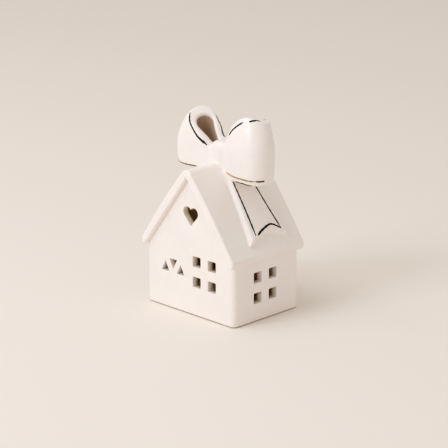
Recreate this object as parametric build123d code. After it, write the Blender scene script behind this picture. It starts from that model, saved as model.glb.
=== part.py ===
from build123d import *
from math import asin, atan, atan2, cos, hypot, pi, sin, tan
import os

# A glazed ceramic tealight house with a ribbon bow on its ridge, set down over its tealight, which
# stands in a round hole in the base. Millimetres. +Z is up, the front gable faces -Y, and the origin is the centre of the base.

# House walls
wall_width = 74.4
wall_depth = 55.4
wall_thickness = 4.0
wall_corner_radius = 3.2
cavity_corner_radius = 1.5
base_edge_radius = 1.2

# Roof, with slopes that bow outwards a little
ridge_height = 92.8
eave_height = 41.3
eave_overhang = 1.6
gable_overhang = 3.0
fascia_height = 4.1
roof_thickness = 4.6
slope_bow = 1.0
ridge_radius = 4.8
eave_radius = 1.5
rake_radius = 1.2

# Base plate, set up inside the walls so that the wall ends make the foot. The tealight's lip passes
# through its hole with this much to spare all round.
floor_top = 4.0
floor_recess = 0.8
floor_hole_clearance = 0.3

# Four-pane windows: the front one is to the right of the middle, the side ones are central
pane_size = 6.5
pane_corner_radius = 0.5
pane_pitch_across = 12.8
pane_pitch_up = 12.8
front_window_centre_x = 12.1
front_window_centre_z = 27.6
side_window_centre_y = -1.2
side_window_share_of_eave = 0.508

# Heart in the front gable, its top this far below the ridge
heart_width = 12.2
heart_height = 11.5
heart_lobe_radius = 3.35
heart_drop = 25.8
heart_centre_x = 0.8

# Row of three small peaks, the middle one upside down and raised
peak_width = 6.4
peak_height = 6.2
peak_pitch = 6.5
peak_lift = 2.2
peak_row_x = -14.6
peak_row_z = 22.9

# The glaze softens the outer edges of the holes by this much
hole_edge_radius = 0.5

# Ribbon tails on the two slopes
tail_centre_y = 3.9
tail_eave_gap = 4.8
tail_notch_depth = 5.8
tail_ridge_width = 16.8
tail_end_width = 33.0
tail_thickness = 2.2
tail_side_taper = 40.0
tail_edge_radius = 0.9

# Bow knot; its foot and head are heights from the ridge
knot_centre_y = 2.5
knot_depth = 17.0
knot_foot = -7.8
knot_head = 10.2
knot_foot_width = 12.2
knot_waist_width = 10.8
knot_head_width = 11.6
knot_corner_radius = 3.6
knot_edge_radius = 2.6

# Bow loops: hollow teardrops in plan, drawn in and leaning back towards the top. Foot and crown are
# heights from the ridge.
loop_centre_y = 2.5
loop_root_x = 4.0
loop_root_radius = 7.0
loop_reach = 26.2
loop_swell = 10.6
loop_lean = 4.5
loop_wall = 4.3
loop_edge_radius = 1.5
pocket_root_x = 8.8
pocket_set_in = 5.0
pocket_root_radius = 1.6
left_loop_foot = -9.5
left_loop_crown = 28.7
right_loop_foot = -11.6
right_loop_crown = 31.7

# Slanted cut that makes each loop's rim: its height from the ridge at the root, half way out and
# at the outermost point, and how it tips towards the back (degrees)
left_rim_root = 5.7
left_rim_middle = 19.8
left_rim_end = 27.8
left_rim_tip_angle = 16.0
right_rim_root = 8.2
right_rim_middle = 26.8
right_rim_end = 23.7
right_rim_tip_angle = -14.0

# Shares of a loop's height, and of its reach, swell and lean there, from the bottom up
loop_level_shares = (0.0, 0.13, 0.30, 0.46, 0.62, 0.76, 0.89, 1.0)
loop_reach_shares = (0.98, 1.0, 1.0, 0.985, 0.94, 0.87, 0.785, 0.69)
loop_swell_shares = (0.88, 0.96, 1.0, 0.995, 0.95, 0.88, 0.78, 0.66)
loop_lean_shares = (0.0, 0.0, 0.02, 0.08, 0.21, 0.42, 0.71, 1.0)

# Tealight, standing in the middle of the house on the same surface
cup_radius = 19.0
cup_height = 15.0
cup_wall = 0.4
cup_lip = 0.5
cup_foot_radius = 1.4
wax_depth = 11.6
wax_clearance = 0.1
wax_edge_radius = 0.8
wick_radius = 0.7
wick_length = 17.5
wick_clearance = 0.05
sustainer_radius = 6.0
sustainer_plate = 0.4
sustainer_neck_radius = 1.5
sustainer_neck_height = 3.2

# A cutter runs this far past what it cuts
overrun = 5.0

# Worked out from the sizes above
half_width = wall_width / 2
half_depth = wall_depth / 2
cavity_width = wall_width - 2 * wall_thickness
cavity_depth = wall_depth - 2 * wall_thickness
eave_reach = half_width + eave_overhang
roof_half_depth = half_depth + gable_overhang
slope = atan((ridge_height - eave_height) / eave_reach)
slope_length = hypot(eave_reach, ridge_height - eave_height)
underside_ridge = ridge_height - roof_thickness / cos(slope)
soffit_height = eave_height - fascia_height
soffit_inner_x = (underside_ridge - soffit_height) / tan(slope)
side_window_centre_z = side_window_share_of_eave * eave_height
heart_top = ridge_height - heart_drop
tail_length = slope_length - tail_eave_gap
cup_lip_radius = cup_radius - cup_wall / 2
floor_hole_radius = cup_lip_radius + cup_lip + floor_hole_clearance


def rounded_column(width, depth, radius, bottom, top):
    """An upright prism on a rectangle with rounded corners, about the Z axis."""
    return Pos(0, 0, bottom) * extrude(RectangleRounded(width, depth, radius), top - bottom)


def through_gable(outline):
    """A cutter through the front wall, from an outline drawn in X and Z."""
    start = Plane(origin=(0, wall_thickness - half_depth + overrun, 0), x_dir=(1, 0, 0), z_dir=(0, -1, 0))
    return extrude(start * outline, wall_thickness + 2 * overrun)


def through_sides(outline):
    """A cutter through both side walls, from an outline drawn in Y and Z."""
    return extrude(Plane.YZ * outline, half_width + overrun, both=True)


def four_panes(across, up):
    """Two by two square panes about a centre."""
    pane = RectangleRounded(pane_size, pane_size, pane_corner_radius)
    places = GridLocations(pane_pitch_across, pane_pitch_up, 2, 2)
    return Sketch() + [Pos(across, up) * place * pane for place in places]


def tangent_point(tip, centre, radius, side):
    """Where a straight line from the tip touches a circle; side is 1 or -1."""
    across = centre[0] - tip[0]
    up = centre[1] - tip[1]
    reach = hypot(across, up)
    turn = asin(radius / reach)
    angle = atan2(up, across) - side * turn
    length = reach * cos(turn)
    return (tip[0] + length * cos(angle), tip[1] + length * sin(angle))


def heart():
    """Two round lobes and the straight sides that run from them to the tip."""
    lobe_x = heart_width / 2 - heart_lobe_radius
    lobe_z = heart_top - heart_lobe_radius
    tip = (heart_centre_x, heart_top - heart_height)
    right = (heart_centre_x + lobe_x, lobe_z)
    left = (heart_centre_x - lobe_x, lobe_z)
    touch_right = tangent_point(tip, right, heart_lobe_radius, 1)
    touch_left = tangent_point(tip, left, heart_lobe_radius, -1)
    body = make_face(Polyline(tip, touch_right, right, left, touch_left, close=True))
    lobe = Circle(heart_lobe_radius)
    return Sketch() + [body, Pos(*right) * lobe, Pos(*left) * lobe]


def peaks():
    """Three small triangles in a row."""
    row = Sketch()
    for step in (-1, 0, 1):
        middle = peak_row_x + step * peak_pitch
        base = peak_row_z
        tip = peak_row_z + peak_height
        if step == 0:
            base, tip = tip + peak_lift, base + peak_lift
        corners = ((middle - peak_width / 2, base), (middle + peak_width / 2, base), (middle, tip))
        row += make_face(Polyline(*corners, close=True))
    return row


def under_roof():
    """Everything below the underside of the roof, as a prism along Y."""
    far = eave_reach + overrun
    outline = Polyline(
        (0, underside_ridge),
        (soffit_inner_x, soffit_height),
        (far, soffit_height),
        (far, -overrun),
        (-far, -overrun),
        (-far, soffit_height),
        (-soffit_inner_x, soffit_height),
        close=True,
    )
    return extrude(Plane.XZ * make_face(outline), roof_half_depth + overrun, both=True)


def house_walls():
    """Four walls and two gables in one shell, open below and above."""
    outer = rounded_column(wall_width, wall_depth, wall_corner_radius, 0, ridge_height)
    outer = fillet(outer.faces().sort_by(Axis.Z)[0].edges(), base_edge_radius)
    cavity = rounded_column(cavity_width, cavity_depth, cavity_corner_radius, -overrun, ridge_height + overrun)
    shell = (outer - cavity) & under_roof()
    shell -= through_gable(four_panes(front_window_centre_x, front_window_centre_z))
    shell -= through_gable(heart())
    shell -= through_gable(peaks())
    shell -= through_sides(four_panes(side_window_centre_y, side_window_centre_z))
    return soften_holes(shell)


def soften_holes(shell):
    """Round the outer edges of the holes in the front and side walls."""
    flats = [f for f in shell.faces() if f.geom_type == GeomType.PLANE]
    fronts = [f for f in flats if abs(abs(f.center().Y) - half_depth) < wall_thickness / 8]
    sides = [f for f in flats if abs(abs(f.center().X) - half_width) < wall_thickness / 8]
    edges = []
    for face in fronts + sides:
        for wire in face.inner_wires():
            edges += wire.edges()
    return fillet(edges, hole_edge_radius)


def bowed_slope(side):
    """The outer line of one slope, from ridge to eave; side is 1 or -1."""
    middle_x = eave_reach / 2 + slope_bow * sin(slope)
    middle_z = (ridge_height + eave_height) / 2 + slope_bow * cos(slope)
    return ThreePointArc((0, ridge_height), (side * middle_x, middle_z), (side * eave_reach, eave_height))


def roof():
    """Two slopes in one piece, with level eaves and overhanging gable ends."""
    underside = Polyline(
        (eave_reach, eave_height),
        (eave_reach, soffit_height),
        (soffit_inner_x, soffit_height),
        (0, underside_ridge),
        (-soffit_inner_x, soffit_height),
        (-eave_reach, soffit_height),
        (-eave_reach, eave_height),
    )
    section = make_face((bowed_slope(1), underside, bowed_slope(-1)))
    ridge = section.vertices().sort_by(Axis.Y)[-1]
    section = fillet(ridge, ridge_radius)
    eaves = [v for v in section.vertices() if abs(v.X) > half_width]
    section = fillet(eaves, eave_radius)
    slab = extrude(Plane.XZ * section, roof_half_depth, both=True)
    ends = slab.faces().filter_by(Axis.Y)
    return fillet(ends.edges(), rake_radius)


def floor_plate():
    """The base inside the walls, with the round hole that the tealight stands in."""
    plate = rounded_column(cavity_width, cavity_depth, cavity_corner_radius, floor_recess, floor_top)
    return plate - Cylinder(floor_hole_radius, 2 * (floor_top + overrun))


def ribbon_tail(side):
    """A swallow-tailed ribbon down one slope, from the ridge; side is 1 for right and -1 for left."""
    past_ridge = (tail_thickness + slope_bow + ridge_radius) * tan(slope)
    flare = (tail_end_width - tail_ridge_width) / (2 * tail_length)
    root = tail_ridge_width / 2 - past_ridge * flare
    corners = (
        (-past_ridge, -root),
        (tail_length, -tail_end_width / 2),
        (tail_length - tail_notch_depth, 0),
        (tail_length, tail_end_width / 2),
        (-past_ridge, root),
    )
    outline = make_face(Polyline(*corners, close=True))
    ribbon = extrude(outline, tail_thickness, taper=tail_side_taper)
    ribbon = fillet(ribbon.faces().sort_by(Axis.Z)[-1].edges(), tail_edge_radius)
    ribbon += extrude(outline, -ridge_radius - slope_bow)
    down_slope = Plane(
        origin=(0, tail_centre_y, ridge_height + slope_bow / cos(slope)),
        x_dir=(cos(slope), 0, -sin(slope)),
        z_dir=(sin(slope), 0, cos(slope)),
    )
    ribbon = ((down_slope * ribbon) & over_right_slope()) - roof_envelope()
    if side < 0:
        ribbon = mirror(ribbon, Plane.YZ)
    return ribbon


def over_right_slope():
    """The room for the right ribbon: up to its own thickness over the roof, rounded at the ridge."""
    apex = ridge_height + (slope_bow + tail_thickness) / cos(slope)
    outline = Polyline((0, apex), (apex / tan(slope), 0), (-apex / tan(slope), 0), close=True)
    section = make_face(outline)
    section = fillet(section.vertices().sort_by(Axis.Y)[-1], ridge_radius + tail_thickness)
    room = extrude(Plane.XZ * section, roof_half_depth, both=True)
    return split(room, Plane.YZ, keep=Keep.TOP)


def bow_knot():
    """An upright pillow of ribbon, a little drawn in at its waist."""
    foot = ridge_height + knot_foot
    head = ridge_height + knot_head
    levels = ((foot, knot_foot_width), ((foot + head) / 2, knot_waist_width), (head, knot_head_width))
    sections = []
    for height, width in levels:
        outline = RectangleRounded(width, knot_depth, knot_corner_radius)
        sections.append(Pos(0, knot_centre_y, height) * outline)
    pillow = loft(sections)
    return fillet(pillow.faces().sort_by(Axis.Z)[-1].edges(), knot_edge_radius)


def teardrop(side, root_x, root_radius, end_x, end_y, end_radius, height):
    """A level outline: a small circle near the knot, a large one beyond it, and their tangents."""
    root = (side * root_x, loop_centre_y)
    end = (side * end_x, end_y)
    heading = atan2(end[1] - root[1], end[0] - root[0])
    half_turn = pi / 2 + asin((end_radius - root_radius) / hypot(end[0] - root[0], end[1] - root[1]))

    def on_circle(centre, radius, angle):
        return (centre[0] + radius * cos(heading + angle), centre[1] + radius * sin(heading + angle), height)

    end_first = on_circle(end, end_radius, -half_turn)
    end_last = on_circle(end, end_radius, half_turn)
    root_first = on_circle(root, root_radius, half_turn)
    root_last = on_circle(root, root_radius, -half_turn)
    edges = (
        ThreePointArc(end_first, on_circle(end, end_radius, 0), end_last),
        Line(end_last, root_first),
        ThreePointArc(root_first, on_circle(root, root_radius, pi), root_last),
        Line(root_last, end_first),
    )
    return make_face(edges)


def loop_levels(foot, crown):
    """Height, reach, centre line and swell of a loop at each of its levels."""
    rows = zip(loop_level_shares, loop_reach_shares, loop_lean_shares, loop_swell_shares)
    levels = []
    for level, reach, lean, swell in rows:
        height = ridge_height + foot + level * (crown - foot)
        levels.append((height, loop_reach * reach, loop_centre_y + loop_lean * lean, loop_swell * swell))
    return levels


def rim_cutter(side, rim_root, rim_middle, rim_end, rim_tip_angle):
    """All that lies above a loop's slanted and bowed rim."""
    outermost = loop_reach + loop_swell
    middle = (loop_root_x + outermost) / 2
    inner_slope = (rim_middle - rim_root) / (middle - loop_root_x)
    outer_slope = (rim_end - rim_middle) / (outermost - middle)
    near = loop_root_x - loop_root_radius - overrun
    far = outermost + overrun
    start = (near, rim_root - inner_slope * (loop_root_x - near))
    end = (far, rim_end + outer_slope * overrun)
    ceiling = max(rim_root, rim_middle, rim_end) + loop_swell + overrun
    outline = (
        Spline(start, (loop_root_x, rim_root), (middle, rim_middle), (outermost, rim_end), end),
        Polyline(end, (far, ceiling), (near, ceiling), start),
    )
    depth = 2 * (loop_swell + loop_lean + overrun)
    behind = Plane(origin=(0, depth / 2, 0), x_dir=(1, 0, 0), z_dir=(0, -1, 0))
    cutter = extrude(behind * make_face(outline), depth)
    if side < 0:
        cutter = mirror(cutter, Plane.YZ)
    tipped = Rot(rim_tip_angle, 0, 0) * Pos(0, 0, -rim_middle) * cutter
    return Pos(0, loop_centre_y, ridge_height + rim_middle) * tipped


def bow_loop(side, foot, crown, rim):
    """One hollow loop of ribbon, open at its slanted rim and closed below."""
    levels = loop_levels(foot, crown)
    outer = loft([teardrop(side, loop_root_x, loop_root_radius, x, y, r, z) for z, x, y, r in levels])
    outer = fillet(outer.faces().sort_by(Axis.Z)[0].edges(), loop_edge_radius)
    inner = levels[2:]
    last = inner[-1]
    inner.append((last[0] + overrun,) + last[1:])
    pocket = loft(
        [
            teardrop(side, pocket_root_x, pocket_root_radius, x - pocket_set_in, y, r - loop_wall, z)
            for z, x, y, r in inner
        ]
    )
    loop = outer - rim_cutter(side, *rim) - pocket
    rim_face = loop.faces().sort_by(Axis.Z)[-1]
    return fillet(rim_face.edges(), loop_edge_radius)


def tealight_cup():
    """A pressed metal cup with a rounded foot and a rolled lip."""
    inner = cup_radius - cup_wall
    profile = Polyline(
        (0, 0),
        (cup_radius, 0),
        (cup_radius, cup_height),
        (inner, cup_height),
        (inner, cup_wall),
        (0, cup_wall),
        close=True,
    )
    section = make_face(profile)
    foot = section.vertices().sort_by_distance((cup_radius, 0))[0]
    section = fillet(foot, cup_foot_radius)
    inside = section.vertices().sort_by_distance((inner, cup_wall))[0]
    section = fillet(inside, cup_foot_radius - cup_wall)
    cup = revolve(Plane.XZ * section, Axis.Z)
    lip = Torus(cup_lip_radius, cup_lip)
    return cup + Pos(0, 0, cup_height) * lip


def wick_sustainer():
    """A thin disc under the wax with a short neck that grips the wick."""
    disc = Cylinder(sustainer_radius, sustainer_plate, align=(Align.CENTER, Align.CENTER, Align.MIN))
    neck = Cylinder(sustainer_neck_radius, sustainer_neck_height, align=(Align.CENTER, Align.CENTER, Align.MIN))
    bore = Cylinder(wick_radius, 2 * sustainer_neck_height)
    return disc + neck - bore


def wick():
    """A straight cord that stands up out of the wax."""
    cord = Cylinder(wick_radius, wick_length, align=(Align.CENTER, Align.CENTER, Align.MIN))
    return fillet(cord.faces().sort_by(Axis.Z)[-1].edges(), wick_radius / 2)


def tealight_wax():
    """The disc of wax, cast round the sustainer."""
    radius = cup_radius - cup_wall - wax_clearance
    wax = Cylinder(radius, wax_depth, align=(Align.CENTER, Align.CENTER, Align.MIN))
    wax = fillet(wax.faces().sort_by(Axis.Z)[-1].edges(), wax_edge_radius)
    wax = chamfer(wax.faces().sort_by(Axis.Z)[0].edges(), cup_foot_radius)
    hole = Cylinder(wick_radius + wick_clearance, 2 * wax_depth + overrun)
    return wax - wick_sustainer() - hole


def roof_envelope():
    """The roof with its inside filled, for cutting what stands on it."""
    return roof() + (under_roof() & rounded_column(wall_width, wall_depth, wall_corner_radius, 0, ridge_height))


def build_all():
    """Every node, in its place."""
    walls = house_walls()
    top = roof()
    tail_right = ribbon_tail(1)
    tail_left = ribbon_tail(-1)
    seat = roof_envelope() + tail_right + tail_left
    knot = bow_knot()
    left_rim = (left_rim_root, left_rim_middle, left_rim_end, left_rim_tip_angle)
    right_rim = (right_rim_root, right_rim_middle, right_rim_end, right_rim_tip_angle)
    loop_left = bow_loop(-1, left_loop_foot, left_loop_crown, left_rim) - knot - seat
    loop_right = bow_loop(1, right_loop_foot, right_loop_crown, right_rim) - knot - seat
    in_cup = Pos(0, 0, cup_wall)
    return {
        "house_walls": walls,
        "roof": top,
        "floor_plate": floor_plate(),
        "ribbon_tail_left": tail_left,
        "ribbon_tail_right": tail_right,
        "bow_knot": knot - seat,
        "bow_loop_left": loop_left,
        "bow_loop_right": loop_right,
        "tealight_cup": tealight_cup(),
        "tealight_wax": in_cup * tealight_wax(),
        "wick_sustainer": in_cup * wick_sustainer(),
        "wick": in_cup * wick(),
    }


os.makedirs("parts", exist_ok=True)
for name, shape in build_all().items():
    export_step(shape, f"parts/{name}.step")
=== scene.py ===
import bpy
import math
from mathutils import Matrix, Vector
from mathutils.bvhtree import BVHTree


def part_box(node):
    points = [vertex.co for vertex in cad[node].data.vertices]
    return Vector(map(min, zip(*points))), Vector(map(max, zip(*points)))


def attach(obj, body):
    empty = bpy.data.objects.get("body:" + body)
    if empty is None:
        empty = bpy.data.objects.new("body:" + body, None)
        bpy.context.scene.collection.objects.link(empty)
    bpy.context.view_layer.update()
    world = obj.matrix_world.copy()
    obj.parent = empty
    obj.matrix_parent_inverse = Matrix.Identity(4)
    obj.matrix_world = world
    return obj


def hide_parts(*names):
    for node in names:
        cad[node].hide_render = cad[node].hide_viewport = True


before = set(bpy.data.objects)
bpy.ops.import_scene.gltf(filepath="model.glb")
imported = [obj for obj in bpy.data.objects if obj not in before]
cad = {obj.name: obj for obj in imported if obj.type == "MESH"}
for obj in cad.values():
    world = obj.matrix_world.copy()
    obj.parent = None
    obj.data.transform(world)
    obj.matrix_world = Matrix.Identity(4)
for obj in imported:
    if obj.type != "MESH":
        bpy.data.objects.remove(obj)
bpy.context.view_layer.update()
mm = 0.001
print("frame loaded")


def linear(red, green, blue):
    # a colour picked on screen, 0 to 255, as the shader wants it
    def channel(value):
        value = value / 255
        return value / 12.92 if value <= 0.04045 else ((value + 0.055) / 1.055) ** 2.4
    return (channel(red), channel(green), channel(blue), 1.0)


def deselectAll():
    if bpy.context.object and bpy.context.object.mode != "OBJECT":
        bpy.ops.object.mode_set(mode="OBJECT")
    bpy.ops.object.select_all(action="DESELECT")


def makeActive(thing):
    deselectAll()
    thing.select_set(True)
    bpy.context.view_layer.objects.active = thing


def applyModifier(thing, kind, **settings):
    makeActive(thing)
    bpy.ops.object.modifier_add(type=kind)
    modifier = thing.modifiers[-1]
    for name, value in settings.items():
        setattr(modifier, name, value)
    bpy.ops.object.modifier_apply(modifier=modifier.name)


def smoothShade(thing, degrees=40):
    makeActive(thing)
    bpy.ops.object.shade_smooth_by_angle(angle=math.radians(degrees))


def joined(pieces):
    deselectAll()
    for piece in pieces:
        piece.select_set(True)
    bpy.context.view_layer.objects.active = pieces[0]
    if len(pieces) > 1:
        bpy.ops.object.join()
    return pieces[0]


def facesUp(face):
    return face.normal.z > 0.9


def facesDown(face):
    return face.normal.z < -0.9


def pickFaces(thing, wanted):
    # goes into edit mode with only the wanted faces selected
    makeActive(thing)
    bpy.ops.object.mode_set(mode="EDIT")
    bpy.ops.mesh.select_mode(type="FACE")
    bpy.ops.mesh.select_all(action="DESELECT")
    bpy.ops.object.mode_set(mode="OBJECT")
    for face in thing.data.polygons:
        face.select = wanted(face)
    bpy.ops.object.mode_set(mode="EDIT")


def makeTube(points, radii, thickness):
    # a round tube through the points, as a mesh
    deselectAll()
    bpy.ops.curve.primitive_bezier_curve_add()
    curve = bpy.context.object.data
    curve.bevel_depth = thickness
    curve.bevel_resolution = 2
    curve.use_fill_caps = True
    curve.splines.clear()
    spline = curve.splines.new("POLY")
    spline.points.add(len(points) - 1)
    for place, point, radius in zip(spline.points, points, radii):
        place.co = (*point, 1)
        place.radius = radius
    bpy.ops.object.convert(target="MESH")
    return bpy.context.object


def finishPiece(thing, name, body, slotName, material, *nodes):
    # named, carried by its body, and standing for the CAD nodes that it covers
    thing.name = name
    thing.data.name = name
    thing.data.materials.clear()
    thing.data.materials.append(material)
    makeActive(thing)
    bpy.ops.object.transform_apply(location=True, rotation=True, scale=True)
    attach(thing, body)
    if nodes:
        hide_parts(*nodes)
    print("made", name, len(thing.data.polygons), "faces")
    return thing


# Shader helpers

def addNode(tree, kind, settings=None, **sockets):
    # a node with its settings, and its inputs given as values or as sockets to link
    node = tree.nodes.new("ShaderNode" + kind)
    for name, value in (settings or {}).items():
        setattr(node, name, value)
    for name, value in sockets.items():
        key = int(name[1:]) if name[0] == "i" and name[1:].isdigit() else name.replace("_", " ")
        if isinstance(value, bpy.types.NodeSocket):
            tree.links.new(value, node.inputs[key])
        else:
            node.inputs[key].default_value = value
    return node


def addMath(tree, operation, first, second=0.0, third=0.0):
    return addNode(tree, "Math", {"operation": operation}, i0=first, i1=second, i2=third).outputs[0]


def addRamp(tree, value, low, high, bottom=0.0, top=1.0):
    # a soft step from bottom to top as the value goes from low to high
    settings = {"interpolation_type": "SMOOTHSTEP"}
    ramp = addNode(tree, "MapRange", settings, i0=value, i1=low, i2=high, i3=bottom, i4=top)
    return ramp.outputs[0]


def addMix(tree, factor, first, second):
    return addNode(tree, "Mix", {"data_type": "RGBA"}, i0=factor, i6=first, i7=second).outputs[2]


def addNoise(tree, place, scale, detail=2.0, rough=0.5):
    noise = addNode(tree, "TexNoise", None, Vector=place, Scale=scale, Detail=detail, Roughness=rough)
    return noise.outputs[0]


def objectPlace(tree):
    return addNode(tree, "TexCoord").outputs["Object"]


def apart(tree, place):
    # x, y and z
    return addNode(tree, "SeparateXYZ", None, Vector=place).outputs


def newGroup(name, inputs, outputs):
    group = bpy.data.node_groups.new(name, "ShaderNodeTree")
    for label, value in inputs.items():
        kind = "NodeSocketColor" if isinstance(value, tuple) else "NodeSocketFloat"
        group.interface.new_socket(label, in_out="INPUT", socket_type=kind).default_value = value
    for label, kind in outputs.items():
        group.interface.new_socket(label, in_out="OUTPUT", socket_type=kind)
    given = group.nodes.new("NodeGroupInput").outputs
    return group, given, group.nodes.new("NodeGroupOutput").inputs


def useGroup(tree, group, **sockets):
    return addNode(tree, "Group", {"node_tree": group}, **sockets).outputs


def newMaterial(name):
    material = bpy.data.materials.new(name)
    material.use_nodes = True
    tree = material.node_tree
    return material, tree, tree.nodes["Principled BSDF"]


finishOutputs = {"Color": "NodeSocketColor", "Roughness": "NodeSocketFloat",
                 "Height": "NodeSocketFloat"}


def finishMaterial(tree, shader, outputs, depth, strength):
    tree.links.new(outputs["Color"], shader.inputs["Base Color"])
    tree.links.new(outputs["Roughness"], shader.inputs["Roughness"])
    bump = addNode(tree, "Bump", None, Height=outputs["Height"], Distance=depth, Strength=strength)
    tree.links.new(bump.outputs[0], shader.inputs["Normal"])


# Glaze: one fired finish for the whole house, waved in its own way on walls, roof, base and ribbons,
# with painted shade inside the house and in the loops and painted light in the attic

glaze = {
    "white": linear(250, 243, 238),
    "pooled": linear(246, 238, 233),     # where the glaze lies thicker
    # painted shade: the inside colour is a dull brown for the gloom behind the walls
    "inside": linear(218, 184, 138),     # dull and brown behind the windows,
    # painted light: the attic colour is lighter and warmer for light bounced round behind the heart
    "attic": linear(253, 220, 158),      # lighter and warmer behind the heart
    # painted shade: the pocket colour is browner for the shade down in the loops
    "pocket": linear(188, 156, 128),     # and browner in the loops
    "clay": linear(196, 176, 152),       # the wiped foot
    "speck": linear(176, 140, 104),
    "gloss": 0.34,
    "coat": 0.18,
    "coatGloss": 0.22,
    "refraction": 1.5,
    "footHeight": 0.5 * mm,
    "insideStart": 0.2 * mm,             # the change to brown, in the walls' thickness
    "insideSoftness": 2.4 * mm,
    "roofSeat": 2.5 * mm,                # the inside's slope ends this far in from the eave's edge
    "atticHeights": (38 * mm, 52 * mm),  # the attic's painted light starts and is full
    "waveDepth": 0.55 * mm,
    "waves": {                           # size and strength of the waves
        "wallGlaze": (1.0, 0.55),
        "roofGlaze": (0.8, 0.9),
        "floorGlaze": (1.0, 0.5),
        "ribbonGlaze": (1.3, 0.7),
    },
}

glazeGrain = {
    "broad": (45, 1.5, 0.4),             # scale, detail and roughness of the three clouds
    "middling": (150, 2.0, 0.5),
    "fine": (900, 2.0, 0.6),
    "middlingShare": 0.4,                # of the middling cloud in where the glaze pools
    "pooledFrom": (0.42, 0.66),
    "pooling": 0.55,
    "speckScale": 230,
    "speckRadii": (0.05, 0.11),
    "speckStrength": 0.16,
    "speckPatches": (60, 1.0),
    "patchEdge": (0.56, 0.66),
    "shadeThinFrom": (0.2, 0.6),             # the painted shade's brown is a little thinner in places
    "thinShade": 0.86,
    "shadeDullness": 0.6,
    "footWaver": 0.4 * mm,
    "footEdge": 0.2 * mm,
    "mottling": 0.08,
    "dulling": 0.5,                      # of the foot and the brown
    "middlingRipple": 0.22,
    "fineRipple": 0.012,
}


def makeInsideMask():
    # 1 behind the walls and under the roof, 0 outside, with the change inside the wall's thickness
    inputs = {"Half Width": 0.03, "Half Depth": 0.02, "Ridge": 0.08, "Pitch": 1.3,
              "Softness": glaze["insideSoftness"]}
    group, given, out = newGroup("insideMask", inputs, {"Mask": "NodeSocketFloat"})
    x, y, z = apart(group, objectPlace(group))
    start, soft = glaze["insideStart"], given["Softness"]
    across = addMath(group, "SUBTRACT", addMath(group, "ABSOLUTE", x), given["Half Width"])
    along = addMath(group, "SUBTRACT", addMath(group, "ABSOLUTE", y), given["Half Depth"])
    slope = addMath(group, "MULTIPLY_ADD", addMath(group, "ABSOLUTE", x), given["Pitch"], z)
    up = addMath(group, "SUBTRACT", slope, given["Ridge"])
    masks = [addRamp(group, distance, start, soft, 1.0, 0.0) for distance in (across, along, up)]
    both = addMath(group, "MULTIPLY", masks[0], masks[1])
    group.links.new(addMath(group, "MULTIPLY", both, masks[2]), out["Mask"])
    return group


def makeGlazeGroup():
    inputs = {"White": glaze["white"], "Pooled": glaze["pooled"], "Inside": glaze["inside"],
              "Clay": glaze["clay"], "Speck": glaze["speck"], "Gloss": glaze["gloss"],
              "Inside Mask": 0.0, "Foot Height": glaze["footHeight"], "Wave Size": 1.0}
    grain = glazeGrain
    group, given, out = newGroup("firedGlaze", inputs, finishOutputs)
    place = objectPlace(group)
    z = apart(group, place)[2]
    sizing = addNode(group, "VectorMath", {"operation": "SCALE"}, Vector=place,
                     Scale=given["Wave Size"])
    broad = addNoise(group, sizing.outputs[0], *grain["broad"])
    middling = addNoise(group, sizing.outputs[0], *grain["middling"])
    fine = addNoise(group, place, *grain["fine"])
    share = grain["middlingShare"]
    blend = addMath(group, "MULTIPLY", broad, 1 - share)
    blend = addMath(group, "MULTIPLY_ADD", middling, share, blend)
    thick = addRamp(group, blend, *grain["pooledFrom"])
    pooling = addMath(group, "MULTIPLY", thick, grain["pooling"])
    color = addMix(group, pooling, given["White"], given["Pooled"])
    dots = addNode(group, "TexVoronoi", None, Vector=place, Scale=grain["speckScale"])
    dots = addRamp(group, dots.outputs["Distance"], *grain["speckRadii"], grain["speckStrength"], 0.0)
    here = addRamp(group, addNoise(group, place, *grain["speckPatches"]), *grain["patchEdge"])
    color = addMix(group, addMath(group, "MULTIPLY", dots, here), color, given["Speck"])
    # painted shade inside the house, a little thinner in places and duller
    patchyShade = addRamp(group, broad, *grain["shadeThinFrom"], grain["thinShade"], 1.0)
    insideShade = addMath(group, "MULTIPLY", given["Inside Mask"], patchyShade)
    color = addMix(group, insideShade, color, given["Inside"])
    edge = addMath(group, "MULTIPLY_ADD", middling, grain["footWaver"], given["Foot Height"])
    over = addMath(group, "SUBTRACT", z, edge)
    foot = addRamp(group, over, -grain["footEdge"], grain["footEdge"], 1.0, 0.0)
    color = addMix(group, foot, color, given["Clay"])
    group.links.new(color, out["Color"])
    dull = addMath(group, "MAXIMUM", foot, addMath(group, "MULTIPLY", insideShade, grain["shadeDullness"]))
    uneven = addMath(group, "MULTIPLY_ADD", fine, grain["mottling"], given["Gloss"])
    group.links.new(addMath(group, "MULTIPLY_ADD", dull, grain["dulling"], uneven), out["Roughness"])
    ripple = addMath(group, "MULTIPLY_ADD", middling, grain["middlingRipple"], broad)
    group.links.new(addMath(group, "MULTIPLY_ADD", fine, grain["fineRipple"], ripple), out["Height"])
    return group


def insideHouse(tree, mask):
    # where the walls' and roof's inner side is, and its painted shade there, with painted light in the
    # attic
    _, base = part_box("floor_plate")
    _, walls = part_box("house_walls")
    eave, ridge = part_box("roof")
    pitch = (walls[2] - eave[2]) / (ridge[0] - glaze["roofSeat"])
    where = useGroup(tree, mask, Half_Width=base[0], Half_Depth=base[1], Ridge=walls[2],
                     Pitch=pitch, Softness=glaze["insideSoftness"])
    # painted light: lighter and warmer up in the attic behind the heart
    up = addRamp(tree, apart(tree, objectPlace(tree))[2], *glaze["atticHeights"])
    return where["Mask"], addMix(tree, up, glaze["inside"], glaze["attic"])


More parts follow.
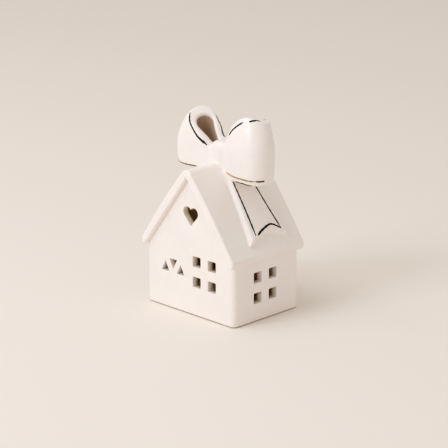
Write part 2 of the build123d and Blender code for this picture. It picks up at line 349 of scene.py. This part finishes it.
def makeGlaze(name, group, mask=None):
    material, tree, shader = newMaterial(name)
    waveSize, strength = glaze["waves"][name]
    if mask:
        where, color = insideHouse(tree, mask)
    else:
        # painted shade down in the loops' pockets
        where = addNode(tree, "Attribute", {"attribute_name": "hollow"}).outputs["Fac"]
        color = glaze["pocket"]
    outputs = useGroup(tree, group, Wave_Size=waveSize, Inside_Mask=where, Inside=color)
    finishMaterial(tree, shader, outputs, glaze["waveDepth"], strength)
    shader.inputs["Coat Weight"].default_value = glaze["coat"]
    shader.inputs["Coat Roughness"].default_value = glaze["coatGloss"]
    shader.inputs["IOR"].default_value = glaze["refraction"]
    return material


# Gold lustre: brushed on by hand, with a painted reflection: bright gold where a stroke's painted
# glint is high and dark brown where it is low

lustre = {
    "bright": linear(224, 188, 126),
    "dark": linear(20, 14, 10),
    "gloss": 0.3,
    "glossSpread": 0.18,
    "metal": 0.85,
    "streaks": (1300, 3.0, 0.6),         # scale, detail and roughness
    "streaking": 0.5,
    "glintFrom": (0.05, 0.95),
    "streakDepth": 0.05 * mm,
    "streakStrength": 0.4,
}


def makeLustre():
    inputs = {"Bright": lustre["bright"], "Dark": lustre["dark"], "Gloss": lustre["gloss"]}
    group, given, out = newGroup("brushedLustre", inputs, finishOutputs)
    streaks = addNoise(group, objectPlace(group), *lustre["streaks"])
    # painted reflection: each stroke's glint picks bright gold or dark brown, with streaks
    paintedGlint = addNode(group, "Attribute", {"attribute_name": "paintedGlint"}).outputs["Fac"]
    centred = addMath(group, "SUBTRACT", streaks, 0.5)
    streaked = addMath(group, "MULTIPLY_ADD", centred, lustre["streaking"], paintedGlint)
    full = addRamp(group, streaked, *lustre["glintFrom"])
    group.links.new(addMix(group, full, given["Dark"], given["Bright"]), out["Color"])
    gloss = addMath(group, "MULTIPLY_ADD", streaks, lustre["glossSpread"], given["Gloss"])
    group.links.new(gloss, out["Roughness"])
    group.links.new(streaks, out["Height"])
    material, tree, shader = newMaterial("goldLustre")
    brushed = useGroup(tree, group)
    finishMaterial(tree, shader, brushed, lustre["streakDepth"], lustre["streakStrength"])
    shader.inputs["Metallic"].default_value = lustre["metal"]
    return material


# Tealight finishes

tealightLook = {
    "pressedFoil": {"light": linear(226, 224, 220), "shade": linear(206, 204, 200),
                    "scale": 400, "gloss": 0.3, "metal": 1.0, "depth": 0.012 * mm},
    "paraffinWax": {"light": linear(243, 238, 226), "shade": linear(230, 220, 200),
                    "scale": 160, "gloss": 0.42, "metal": 0.0, "depth": 0.2 * mm},
    "tinPlate": {"light": linear(196, 194, 188), "shade": linear(150, 146, 138),
                 "scale": 1500, "gloss": 0.35, "metal": 1.0, "depth": 0.03 * mm},
    "waxedCotton": {"light": linear(236, 230, 216), "shade": linear(196, 184, 162),
                    "scale": 2600, "gloss": 0.7, "metal": 0.0, "depth": 0.1 * mm},
}

mottling = {
    "detail": 3.0,
    "toneFrom": (0.35, 0.68),
    "glossSpread": 0.1,
    "strength": 0.5,
}


def makeMottled():
    # two tones mixed by a noise, for foil, wax, tin and cotton
    inputs = {"Light": (1, 1, 1, 1), "Shade": (0, 0, 0, 1), "Scale": 300.0, "Gloss": 0.4,
              "Spread": mottling["glossSpread"]}
    group, given, out = newGroup("mottledFinish", inputs, finishOutputs)
    cloud = addNoise(group, objectPlace(group), given["Scale"], mottling["detail"])
    toned = addRamp(group, cloud, *mottling["toneFrom"])
    group.links.new(addMix(group, toned, given["Light"], given["Shade"]), out["Color"])
    gloss = addMath(group, "MULTIPLY_ADD", cloud, given["Spread"], given["Gloss"])
    group.links.new(gloss, out["Roughness"])
    group.links.new(cloud, out["Height"])
    return group


def makeTealightFinish(name, group):
    look = tealightLook[name]
    material, tree, shader = newMaterial(name)
    outputs = useGroup(tree, group, Light=look["light"], Shade=look["shade"], Scale=look["scale"],
                       Gloss=look["gloss"])
    finishMaterial(tree, shader, outputs, look["depth"], mottling["strength"])
    shader.inputs["Metallic"].default_value = look["metal"]
    return material


insideMask = makeInsideMask()
firedGlaze = makeGlazeGroup()
mottledFinish = makeMottled()
wallGlaze = makeGlaze("wallGlaze", firedGlaze, insideMask)
roofGlaze = makeGlaze("roofGlaze", firedGlaze, insideMask)
floorGlaze = makeGlaze("floorGlaze", firedGlaze, insideMask)
ribbonGlaze = makeGlaze("ribbonGlaze", firedGlaze)
goldLustre = makeLustre()
foil = makeTealightFinish("pressedFoil", mottledFinish)
wax = makeTealightFinish("paraffinWax", mottledFinish)
tin = makeTealightFinish("tinPlate", mottledFinish)
cotton = makeTealightFinish("waxedCotton", mottledFinish)
print("materials made")


# Ribbons: the CAD pieces run together under soft glaze, and into the roof that they stand on

softGlaze = {
    "mergeDistance": 0.002 * mm,
    "sink": 0.12 * mm,               # how far the patch of roof that is run in lies under the real one
    "clearance": (2 * mm, 9 * mm),   # over the roof, where the hand-made unevenness starts and is full
    "smoothing": 0.5,
}

bowLook = {
    "nodes": ("bow_loop_left", "bow_loop_right", "bow_knot"),
    "under": ("roof", "ribbon_tail_left", "ribbon_tail_right"),
    "patch": ((-13.5, -11.5, 72.0), (13.5, 16.5, 110.0)),     # mm
    "grain": 0.34 * mm,
    "softening": 22,
    "jointReach": 12.5 * mm,   # round the knot the pieces are run together more,
    "jointCore": 0.55,         # and most in this share of it
    "jointSoftening": 260,
    "uneven": 0.55 * mm,
    "unevenSize": 15 * mm,
    "seam": 5.4 * mm,          # the pieces part here, on each side of the knot
}

tailLook = {
    "patch": ((0.0, -15.5, 40.0), (38.5, 23.0, 100.0)),       # mm, right slope
    "grain": 0.34 * mm,
    "softening": 16,
}


def mergedCopy(nodeName):
    # a CAD mesh is loose triangles, so its copy is merged
    copy = bpy.data.objects.new(nodeName + "Copy", cad[nodeName].data.copy())
    bpy.context.collection.objects.link(copy)
    makeActive(copy)
    bpy.ops.object.mode_set(mode="EDIT")
    bpy.ops.mesh.select_all(action="SELECT")
    bpy.ops.mesh.remove_doubles(threshold=softGlaze["mergeDistance"])
    bpy.ops.object.mode_set(mode="OBJECT")
    return copy


def cutAway(piece, place, normal):
    # cuts off what lies on the normal's side, and closes the cut
    makeActive(piece)
    bpy.ops.object.mode_set(mode="EDIT")
    bpy.ops.mesh.select_all(action="SELECT")
    bpy.ops.mesh.bisect(plane_co=place, plane_no=normal, use_fill=True, clear_outer=True)
    bpy.ops.object.mode_set(mode="OBJECT")


def sunkPatch(nodeNames, low, high):
    # the part of the roof round a ribbon's foot, a little under the real surface
    patches = []
    for nodeName in nodeNames:
        patch = mergedCopy(nodeName)
        applyModifier(patch, "DISPLACE", direction="NORMAL", mid_level=0,
                      strength=-softGlaze["sink"])
        for axis in range(3):
            for corner, way in ((low, -1), (high, 1)):
                normal = [0, 0, 0]
                normal[axis] = way
                cutAway(patch, [value * mm for value in corner], normal)
        if patch.data.polygons:
            patches.append(patch)
        else:
            bpy.data.objects.remove(patch)
    return patches


def weighVertices(piece, name, weigh):
    # a vertex group whose weights come from each vertex's place
    group = piece.vertex_groups.new(name=name)
    for vertex in piece.data.vertices:
        weight = weigh(vertex.co)
        if weight > 0.001:
            group.add([vertex.index], weight, "REPLACE")
    return group.name


def softStep(value, low, high):
    share = min(1.0, max(0.0, (value - low) / (high - low)))
    return share * share * (3 - 2 * share)


roofLow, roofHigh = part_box("roof")
roofPitch = (roofHigh[2] - roofLow[2]) / roofHigh[0]


def overRoof(place):
    # height over the slopes, about
    return place.z - roofHigh[2] + roofPitch * abs(place.x)


def runTogether(nodes, under, patch, look):
    # one skin over the pieces and the patch of roof, smoothed so that each joint gets a soft fillet
    piece = joined([mergedCopy(name) for name in nodes] + sunkPatch(under, *patch))
    applyModifier(piece, "REMESH", mode="VOXEL", voxel_size=look["grain"], use_smooth_shade=True)
    applyModifier(piece, "SMOOTH", factor=softGlaze["smoothing"], iterations=look["softening"])
    return piece


def makeBow():
    bow = runTogether(bowLook["nodes"], bowLook["under"], bowLook["patch"], bowLook)
    reach = bowLook["jointReach"]

    def nearKnot(place):
        return 1 - softStep(abs(place.x), bowLook["jointCore"] * reach, reach)

    def clear(place):
        return softStep(overRoof(place), *softGlaze["clearance"])

    group = weighVertices(bow, "nearKnot", nearKnot)
    applyModifier(bow, "SMOOTH", factor=softGlaze["smoothing"], iterations=bowLook["jointSoftening"],
                  vertex_group=group)
    handFormed = bpy.data.textures.new("handFormed", "CLOUDS")
    handFormed.noise_scale = bowLook["unevenSize"]
    handFormed.noise_depth = 1
    group = weighVertices(bow, "clear", clear)
    applyModifier(bow, "DISPLACE", texture=handFormed, texture_coords="LOCAL", direction="NORMAL",
                  strength=bowLook["uneven"], mid_level=0.5, vertex_group=group)
    bow.vertex_groups.clear()
    seam = bowLook["seam"]
    cuts = {
        "bowLoopLeft": ("bow_loop_left", [((-seam, 0, 0), (1, 0, 0))]),
        "bowLoopRight": ("bow_loop_right", [((seam, 0, 0), (-1, 0, 0))]),
        "bowKnot": ("bow_knot", [((seam, 0, 0), (1, 0, 0)), ((-seam, 0, 0), (-1, 0, 0))]),
    }
    pieces = {}
    for name, (nodeName, planes) in cuts.items():
        piece = bpy.data.objects.new(name, bow.data.copy())
        bpy.context.collection.objects.link(piece)
        for place, normal in planes:
            cutAway(piece, place, normal)
        smoothShade(piece, 60)
        pieces[name] = finishPiece(piece, name, "house", "ribbon_glaze", ribbonGlaze, nodeName)
    bpy.data.objects.remove(bow)
    return pieces


def makeTail(name, nodeName, side):
    low, high = tailLook["patch"]
    if side < 0:
        low, high = (-high[0], low[1], low[2]), (-low[0], high[1], high[2])
    tail = runTogether((nodeName,), ("roof",), (low, high), tailLook)
    return finishPiece(tail, name, "house", "ribbon_glaze", ribbonGlaze, nodeName)


# Hollow loops: painted shade, brown down in the pocket. All in mm and degrees.

loopHollow = {
    "rims": {                  # the rim over the ridge at its root, middle and end, and its tip
        "bowLoopLeft": (5.7, 19.8, 27.8, 16.0),
        "bowLoopRight": (8.2, 26.8, 23.7, -14.0),
    },
    "ridge": 92.8,
    "rootX": 4.0,
    "farX": 36.8,
    "middleY": 2.5,
    "axis": (19.0, 4.5),       # the pocket's middle, which its walls face
    "facing": 0.5,
    "lowest": 92.0,
    "depths": (1.7, 2.5),      # the brown starts and is full, below the rim
}


def markHollow(piece):
    # how far each vertex is down inside the pocket, 0 to 1, where its painted shade goes
    root, middle, end, tip = loopHollow["rims"][piece.name]
    side = -1 if "Left" in piece.name else 1
    near, far = loopHollow["rootX"], loopHollow["farX"]
    axisX, axisY = loopHollow["axis"]
    values = piece.data.attributes.new("hollow", "FLOAT", "POINT").data
    for vertex in piece.data.vertices:
        x, y, z = side * vertex.co.x / mm, vertex.co.y / mm, vertex.co.z / mm
        share = (x - near) / (far - near)
        bow = (root * (1 - share) * (1 - 2 * share) + middle * 4 * share * (1 - share)
               + end * share * (2 * share - 1))
        rim = loopHollow["ridge"] + bow + (y - loopHollow["middleY"]) * math.tan(math.radians(tip))
        inward = side * vertex.normal.x * (axisX - x) + vertex.normal.y * (axisY - y)
        facing = softStep(inward, -loopHollow["facing"], loopHollow["facing"])
        down = softStep(rim - z, *loopHollow["depths"])
        values[vertex.index].value = facing * down if z > loopHollow["lowest"] else 0.0


ribbons = makeBow()
for name in loopHollow["rims"]:
    markHollow(ribbons[name])
ribbons["ribbonTailLeft"] = makeTail("ribbonTailLeft", "ribbon_tail_left", -1)
ribbons["ribbonTailRight"] = makeTail("ribbonTailRight", "ribbon_tail_right", 1)
print("ribbons made")


# Gold lines: hand-painted strokes, given by points in mm beside the surface that they lie on.
# Each stroke has a width and a painted glint, its painted reflection, at its start and end.

goldLines = {
    "thickness": 0.70 * mm,
    "sunk": 0.45 * mm,
    "steps": 14,               # points between two given ones
    "wobbles": ((0.10, 0.9, 0.0), (0.07, 2.3, 1.0)),   # of the brush: share, pace and start
    "tips": (0.45, 6),         # width at both ends, and how fast it grows from there
}

goldStrokes = {
    "goldLoopLeft": ("bowLoopLeft", [
        {"width": (0.7, 1.5), "paintedGlint": (0.0, 0.0),
         "points": [(-26.8, -0.8, 115.5), (-23.1, -4.9, 111.9), (-19.9, -5.9, 108.3),
                    (-16.4, -6.1, 104.7), (-14.0, -5.9, 102.7), (-8.1, -5.0, 99.3)]},
        {"width": (1.0, 1.3), "paintedGlint": (0.1, 0.2),
         "points": [(-17.8, 12.2, 112.9), (-12.0, 10.7, 107.4), (-8.8, 9.2, 104.5),
                    (-6.8, 8.4, 101.5)]},
        {"width": (0.6, 1.0), "paintedGlint": (0.45, 0.35),
         "points": [(-36.0, 3.0, 87.2), (-34.0, -3.0, 86.2), (-30.1, -6.3, 85.2),
                    (-26.5, -7.4, 84.9), (-21.4, -6.6, 84.8), (-15.5, -6.2, 84.9)]},
        {"width": (0.8, 0.7), "paintedGlint": (0.45, 0.5),
         "points": [(-36.4, 4.5, 86.8), (-33.5, 10.0, 85.4), (-27.0, 13.2, 85.0),
                    (-18.0, 12.0, 85.0)]},
    ]),
    "goldLoopRight": ("bowLoopRight", [
        {"width": (0.9, 1.2), "paintedGlint": (0.0, 0.0),
         "points": [(10.5, -5.1, 108.6), (12.9, -5.0, 112.0), (16.5, -4.5, 115.3),
                    (20.4, -3.5, 118.0)]},
        {"width": (1.1, 1.2), "paintedGlint": (0.0, 0.05),
         "points": [(24.2, -2.7, 118.8), (25.9, -0.2, 119.1), (27.8, 3.4, 118.0)]},
        {"width": (0.7, 0.8), "paintedGlint": (0.2, 0.3),
         "points": [(24.5, 10.5, 115.5), (18.0, 12.0, 112.5), (11.0, 10.0, 107.5),
                    (7.5, 8.4, 103.5)]},
        {"width": (0.9, 0.9), "paintedGlint": (0.25, 0.25),
         "points": [(17.0, -5.6, 82.4), (18.3, -5.9, 81.7), (20.4, -6.4, 81.4),
                    (22.2, -6.6, 81.4), (22.8, -6.7, 82.0), (24.4, -6.8, 81.9),
                    (27.3, -6.8, 81.5), (30.4, -6.3, 81.0)]},
        {"width": (0.9, 1.1), "paintedGlint": (0.75, 0.5),
         "points": [(8.6, -5.3, 85.9), (11.9, -5.6, 84.9), (18.5, -6.5, 84.4), (25.9, -7.4, 84.7),
                    (32.1, -5.3, 84.7)]},
        {"width": (1.2, 1.1), "paintedGlint": (0.45, 0.1),
         "points": [(32.1, -5.3, 84.7), (34.7, -2.1, 84.7), (35.5, -0.6, 84.8)]},
        {"width": (0.9, 0.7), "paintedGlint": (0.1, 0.5),
         "points": [(33.6, 10.2, 85.0), (32.0, 11.5, 85.0), (26.0, 13.2, 85.0),
                    (18.0, 12.0, 85.0)]},
    ]),
    "goldTailRight": ("ribbonTailRight", [
        {"width": (0.9, 1.2), "paintedGlint": (0.0, 0.0),
         "points": [(12.0, -4.2, 82.5), (16.3, -4.6, 76.6), (20.9, -5.0, 70.5),
                    (25.9, -5.5, 63.7), (34.5, -6.7, 52.3)]},
        {"width": (1.5, 1.1), "paintedGlint": (0.0, 0.0),
         "points": [(34.6, -4.9, 52.4), (33.1, -0.4, 54.0), (31.9, 6.9, 55.8), (32.3, 10.5, 55.2),
                    (34.5, 15.1, 52.4)]},
        {"width": (0.9, 1.1), "paintedGlint": (0.0, 0.0),
         "points": [(12.0, 10.0, 82.5), (17.6, 11.1, 74.8), (25.7, 12.7, 64.1),
                    (34.5, 14.9, 52.3)]},
    ]),
}


def between(before, start, end, after, share):
    # a smooth curve through the given points
    rise = (end - before) * share
    bend = (2 * before - 5 * start + 4 * end - after) * share ** 2
    twist = (3 * start - before - 3 * end + after) * share ** 3
    return 0.5 * (2 * start + rise + bend + twist)


def mixed(pair, share):
    return pair[0] + (pair[1] - pair[0]) * share


def surfaceOf(thing):
    # to find the nearest place on it
    corners = [vertex.co for vertex in thing.data.vertices]
    return BVHTree.FromPolygons(corners, [face.vertices[:] for face in thing.data.polygons])


def strokePoints(stroke):
    given = [Vector(point) * mm for point in stroke["points"]]
    given = [2 * given[0] - given[1]] + given + [2 * given[-1] - given[-2]]
    steps = goldLines["steps"]
    path = []
    for index in range(1, len(given) - 2):
        for step in range(steps):
            path.append(between(*given[index - 1:index + 3], step / steps))
    return path + [given[-2]]


def paintStroke(stroke, surface):
    # a tube that follows the surface and is sunk in it, so that only a low line stands out
    path = strokePoints(stroke)
    tipWidth, growth = goldLines["tips"]
    points, radii = [], []
    for index, point in enumerate(path):
        share = index / (len(path) - 1)
        wobble = 1 + sum(size * math.sin(index * pace + phase)
                         for size, pace, phase in goldLines["wobbles"])
        pointed = min(1.0, tipWidth + growth * min(share, 1 - share))
        radii.append(mixed(stroke["width"], share) * wobble * pointed)
        place, normal, _, _ = surface.find_nearest(point)
        points.append(place - normal * goldLines["sunk"] * radii[-1])
    tube = makeTube(points, radii, goldLines["thickness"])
    # painted reflection: how brightly the gold glints along the stroke
    paintedGlint = tube.data.attributes.new("paintedGlint", "FLOAT", "POINT")
    start, end = Vector(path[0]), Vector(path[-1])
    reach = (end - start).length_squared
    for vertex in tube.data.vertices:
        share = min(1.0, max(0.0, (vertex.co - start).dot(end - start) / reach))
        paintedGlint.data[vertex.index].value = mixed(stroke["paintedGlint"], share)
    return tube


def makeGoldLines(name, carrier, strokes):
    surface = surfaceOf(ribbons[carrier])
    lines = joined([paintStroke(stroke, surface) for stroke in strokes])
    smoothShade(lines, 60)
    return finishPiece(lines, name, "house", "ribbon_glaze", goldLustre)


def mirroredStrokes(strokes):
    # the same strokes on the left slope
    return [dict(stroke, points=[(-x, y, z) for x, y, z in stroke["points"]]) for stroke in strokes]


for name, (carrier, strokes) in goldStrokes.items():
    makeGoldLines(name, carrier, strokes)
makeGoldLines("goldTailLeft", "ribbonTailLeft", mirroredStrokes(goldStrokes["goldTailRight"][1]))
print("gold lines painted")


# Tealight cup: thin foil, fluted round the side, with a rolled lip and a dished bottom

cupShape = {
    "flutes": 60,
    "pointsPerFlute": 4,
    "fluteDepth": 0.25 * mm,
    "lipFluting": 0.25,        # share of the flutes' depth that is left at the lip
    "foilThickness": 0.2 * mm,
    "lipThickness": 0.42 * mm,
    "lipSegments": (120, 10),  # round the cup and round the roll
    "lipOverhang": 0.3 * mm,
    "rimReach": 0.1 * mm,      # points this near the top or the foot belong to it
    "footReach": 0.3 * mm,
    "footInset": 1.1 * mm,
    "footHeight": 1.5 * mm,
    "bottomRings": (1.6 * mm, 1.2 * mm),
    "bottomShare": 0.97,       # of the radius, and the side stands outside it
    "dish": 0.15 * mm,         # the wax starts just above it
}


def makeCup():
    low, high = (Vector(corner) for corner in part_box("tealight_cup"))
    middle = (low + high) / 2
    radius = (high.x - low.x) / 2 - cupShape["lipOverhang"]
    height = high.z - low.z - cupShape["lipThickness"]
    deselectAll()
    bpy.ops.mesh.primitive_cylinder_add(vertices=cupShape["pointsPerFlute"] * cupShape["flutes"],
                                        radius=radius, depth=height,
                                        location=(middle.x, middle.y, low.z + height / 2))
    cup = bpy.context.object
    pickFaces(cup, facesUp)
    bpy.ops.mesh.delete(type="ONLY_FACE")
    pickFaces(cup, facesDown)
    for ring in cupShape["bottomRings"]:
        bpy.ops.mesh.inset(thickness=ring)
    bpy.ops.transform.translate(value=(0, 0, cupShape["dish"]))
    bpy.ops.mesh.select_all(action="SELECT")
    bpy.ops.mesh.bisect(plane_co=(0, 0, low.z + cupShape["footHeight"]), plane_no=(0, 0, 1))
    bpy.ops.object.mode_set(mode="OBJECT")
    for vertex in cup.data.vertices:
        side = math.hypot(vertex.co.x, vertex.co.y)
        if side < radius * cupShape["bottomShare"]:
            continue
        wave = 0.5 + 0.5 * math.cos(math.atan2(vertex.co.y, vertex.co.x) * cupShape["flutes"])
        atRim = vertex.co.z > height / 2 - cupShape["rimReach"]
        atFoot = vertex.co.z < -height / 2 + cupShape["footReach"]
        inset = cupShape["fluteDepth"] * wave * (cupShape["lipFluting"] if atRim else 1)
        inset += cupShape["footInset"] if atFoot else 0
        vertex.co.x *= (radius - inset) / side
        vertex.co.y *= (radius - inset) / side
    applyModifier(cup, "SOLIDIFY", thickness=cupShape["foilThickness"], offset=-1)
    bpy.ops.mesh.primitive_torus_add(major_radius=(high.x - low.x) / 2 - cupShape["lipThickness"],
                                     minor_radius=cupShape["lipThickness"],
                                     major_segments=cupShape["lipSegments"][0],
                                     minor_segments=cupShape["lipSegments"][1],
                                     location=(middle.x, middle.y, low.z + height))
    cup = joined([cup, bpy.context.object])
    smoothShade(cup, 50)
    return finishPiece(cup, "cupFluted", "tealight", "cup_metal", foil, "tealight_cup")


# Wick: three twisted cotton strands

wickShape = {
    "strands": 3,
    "turnHeight": 3.4 * mm,
    "strandShare": 0.5,        # of the wick's radius
    "stepsPerTurn": 12,
}


def makeWick():
    low, high = (Vector(corner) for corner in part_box("wick"))
    middle = (low + high) / 2
    radius = (high.x - low.x) / 2
    strand = radius * wickShape["strandShare"]
    turns = (high.z - low.z) / wickShape["turnHeight"]
    count = int(turns * wickShape["stepsPerTurn"])
    strands = []
    for number in range(wickShape["strands"]):
        points = []
        for step in range(count + 1):
            share = step / count
            angle = 2 * math.pi * (turns * share + number / wickShape["strands"])
            points.append((middle.x + (radius - strand) * math.cos(angle),
                           middle.y + (radius - strand) * math.sin(angle),
                           low.z + (high.z - low.z) * share))
        strands.append(makeTube(points, [1] * len(points), strand))
    wick = joined(strands)
    smoothShade(wick, 60)
    return finishPiece(wick, "wickTwisted", "tealight", "wick_cotton", cotton, "wick")


makeCup()
makeWick()
print("tealight made")


# CAD pieces that are right as they are get their finish

for nodeName, material in {"house_walls": wallGlaze, "roof": roofGlaze, "floor_plate": floorGlaze,
                           "tealight_wax": wax, "wick_sustainer": tin}.items():
    cad[nodeName].data.materials.clear()
    cad[nodeName].data.materials.append(material)


# Camera, where the photo's was

photoCamera = {
    "lens": 160.09,
    "sensor": 36,
    "azimuth": 44.94,      # degrees round from the front gable
    "elevation": 17.23,
    "distance": 1200 * mm,
    "farthest": 20,
    "aimHeight": 50.64 * mm,
    "aimRight": 0.87 * mm,
}


def placeCamera():
    azimuth = math.radians(photoCamera["azimuth"])
    elevation = math.radians(photoCamera["elevation"])
    right = Vector((math.cos(azimuth), math.sin(azimuth), 0))
    level = Vector((math.sin(azimuth), -math.cos(azimuth), 0))
    back = level * math.cos(elevation) + Vector((0, 0, math.sin(elevation)))
    aim = right * photoCamera["aimRight"] + Vector((0, 0, photoCamera["aimHeight"]))
    bpy.ops.object.camera_add(location=aim + back * photoCamera["distance"])
    camera = bpy.context.object
    camera.name = "photoCamera"
    camera.rotation_euler = (math.pi / 2 - elevation, 0, azimuth)
    camera.data.lens = photoCamera["lens"]
    camera.data.sensor_width = photoCamera["sensor"]
    camera.data.clip_end = photoCamera["farthest"]
    bpy.context.scene.camera = camera


# Studio: a pale floor, soft lamps and a warm room

studio = {
    "floorNear": linear(244, 236, 228),
    "floorFar": linear(239, 231, 223),
    "floorSize": 12.0,
    "floorGloss": 0.85,
    "floorShine": 0.2,
    "fadeSlant": -0.35,        # painted light: the floor's colour fades darker to the back and a little to the left, as the lamps' light falls off
    "fadeStart": -0.35,
    "fadeEnd": 0.75,
    "roomColor": (1.0, 0.94, 0.88),
    "roomStrength": 0.63,
    "lampAim": (0, 0, 0.05),
}

lamps = {
    "keyLamp": {"place": (-0.36, -1.66, 1.05), "size": 0.8, "power": 10.7,
                "color": (0.80, 0.905, 1.03)},
    "topLamp": {"place": (-0.5, -0.6, 1.6), "size": 1.1, "power": 7.4,
                "color": (0.96, 0.965, 0.98)},
}


def addLamp(name, look):
    bpy.ops.object.light_add(type="AREA", location=look["place"])
    lamp = bpy.context.object
    lamp.name = name
    lamp.data.shape = "SQUARE"
    lamp.data.size = look["size"]
    lamp.data.energy = look["power"]
    lamp.data.color = look["color"]
    toHouse = Vector(studio["lampAim"]) - Vector(look["place"])
    lamp.rotation_euler = toHouse.to_track_quat("-Z", "Y").to_euler()


def makeStudio():
    deselectAll()
    bpy.ops.mesh.primitive_plane_add(size=studio["floorSize"], location=(0, 0, 0))
    floor = bpy.context.object
    floor.name = "studioFloor"
    paper, tree, shader = newMaterial("floorPaper")
    x, y, _ = apart(tree, objectPlace(tree))
    # painted light: the floor darker towards the back
    away = addMath(tree, "MULTIPLY_ADD", x, studio["fadeSlant"], y)
    fade = addRamp(tree, away, studio["fadeStart"], studio["fadeEnd"])
    color = addMix(tree, fade, studio["floorNear"], studio["floorFar"])
    tree.links.new(color, shader.inputs["Base Color"])
    shader.inputs["Roughness"].default_value = studio["floorGloss"]
    shader.inputs["Specular IOR Level"].default_value = studio["floorShine"]
    floor.data.materials.append(paper)
    world = bpy.data.worlds.new("room")
    world.use_nodes = True
    bpy.context.scene.world = world
    background = world.node_tree.nodes["Background"]
    background.inputs["Color"].default_value = (*studio["roomColor"], 1)
    background.inputs["Strength"].default_value = studio["roomStrength"]
    for name, look in lamps.items():
        addLamp(name, look)
    bpy.context.scene.view_settings.view_transform = "Standard"


placeCamera()
makeStudio()
print("studio made")
